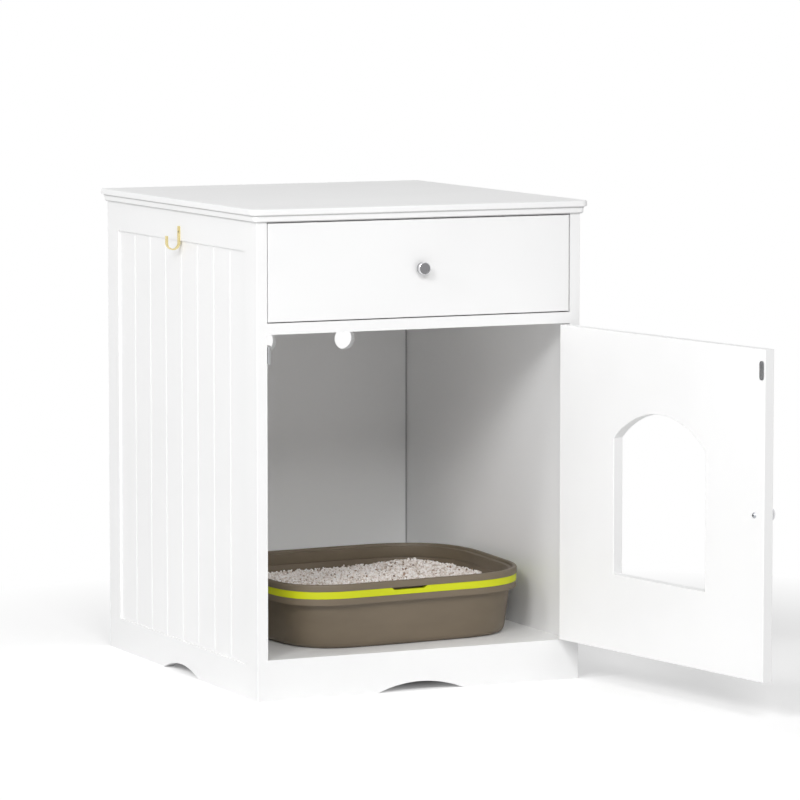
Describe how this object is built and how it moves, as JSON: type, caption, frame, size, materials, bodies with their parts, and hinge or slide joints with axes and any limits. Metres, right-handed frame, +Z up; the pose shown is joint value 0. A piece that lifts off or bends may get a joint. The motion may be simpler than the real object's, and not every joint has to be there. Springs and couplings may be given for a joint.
{
  "type": "litter box enclosure",
  "caption": "White cabinet that hides a litter pan: moulded top, drawer on ball runners, door with an arched way in, planked sides, vents and a scoop hook.",
  "frame": {"origin": "on the floor, at the middle of the lower edge of the back panel, half way through its thickness", "axes": "+Z up, +Y from the front to the back, +X to the right as the front is looked at"},
  "size_m": [0.5654, 0.9871, 0.66],
  "materials": {
    "painted_board": "satin white paint on fibreboard",
    "nickel": "bright nickel plating",
    "brass": "lacquered, a little dull",
    "catch_plastic": "fine matt grain",
    "dowel_wood": "bare beech",
    "pan_plastic": "moulded, low gloss",
    "band_plastic": "moulded, bright lime",
    "rim_plastic": "moulded, low gloss",
    "litter": "pale pressed granules, some brown",
    "magnet": "ferrite",
    "cam_zinc": "die-cast, dull",
    "steel": "zinc plated"
  },
  "bodies": {
    "cabinet": {"side_panel_left": "painted_board", "side_panel_right": "painted_board", "back_panel": "painted_board", "bottom_panel": "painted_board", "divider_panel": "painted_board", "plinth_board": "painted_board", "top_panel": "painted_board", "cam_locks": "cam_zinc", "cam_bolts": "steel", "plinth_dowels": "dowel_wood", "back_screws": "steel", "catch_housing": "catch_plastic", "catch_poles": "steel", "catch_magnet": "magnet", "catch_screws": "steel", "hinge_leaf_fixed_lower": "steel", "hinge_leaf_fixed_upper": "steel", "hinge_pin_lower": "steel", "hinge_pin_upper": "steel", "hinge_screws_fixed": "steel", "runner_rail_fixed_left": "steel", "runner_rail_fixed_right": "steel", "runner_screws_fixed": "steel", "scoop_hook": "brass", "hook_screw": "brass"},
    "door": {"door_panel": "painted_board", "hinge_leaf_door_lower": "steel", "hinge_leaf_door_upper": "steel", "hinge_screws_door": "steel", "door_knob": "nickel", "door_knob_bolt": "steel", "strike_plate": "steel", "strike_screws": "steel"},
    "drawer": {"drawer_front": "painted_board", "drawer_side_left": "painted_board", "drawer_side_right": "painted_board", "drawer_back": "painted_board", "drawer_floor": "painted_board", "drawer_knob": "nickel", "drawer_knob_bolt": "steel", "drawer_cams": "cam_zinc", "drawer_cam_bolts": "steel", "drawer_back_screws": "steel", "runner_rail_drawer_left": "steel", "runner_rail_drawer_right": "steel", "runner_screws_drawer": "steel"},
    "ball_rows": {"ball_cages_left": "steel", "ball_cages_right": "steel", "runner_balls": "steel"},
    "pan": {"litter_pan": "pan_plastic", "pan_band": "band_plastic", "pan_rim": "rim_plastic", "litter_fill": "litter"}
  },
  "joints": [
    {"name": "door_hinge", "type": "hinge", "parent": "cabinet", "child": "door", "pos_m": [0.22425, -0.5365, 0.27425], "axis": [0, 0, 1], "range_deg": [-99.25, 80.75]},
    {"name": "drawer_slide", "type": "slide", "parent": "cabinet", "child": "drawer", "axis": [0, -1, 0], "range_m": [0, 0.3]},
    {"name": "ball_row_slide", "type": "slide", "parent": "cabinet", "child": "ball_rows", "axis": [0, -1, 0], "range_m": [0, 0.15]},
    {"name": "pan_slide", "type": "slide", "parent": "cabinet", "child": "pan", "axis": [0, 1, 0], "range_m": [0, 0.12]}
  ],
  "couplings": [
    {"joint": "ball_row_slide", "follows": "drawer_slide", "ratio": 0.5}
  ]
}
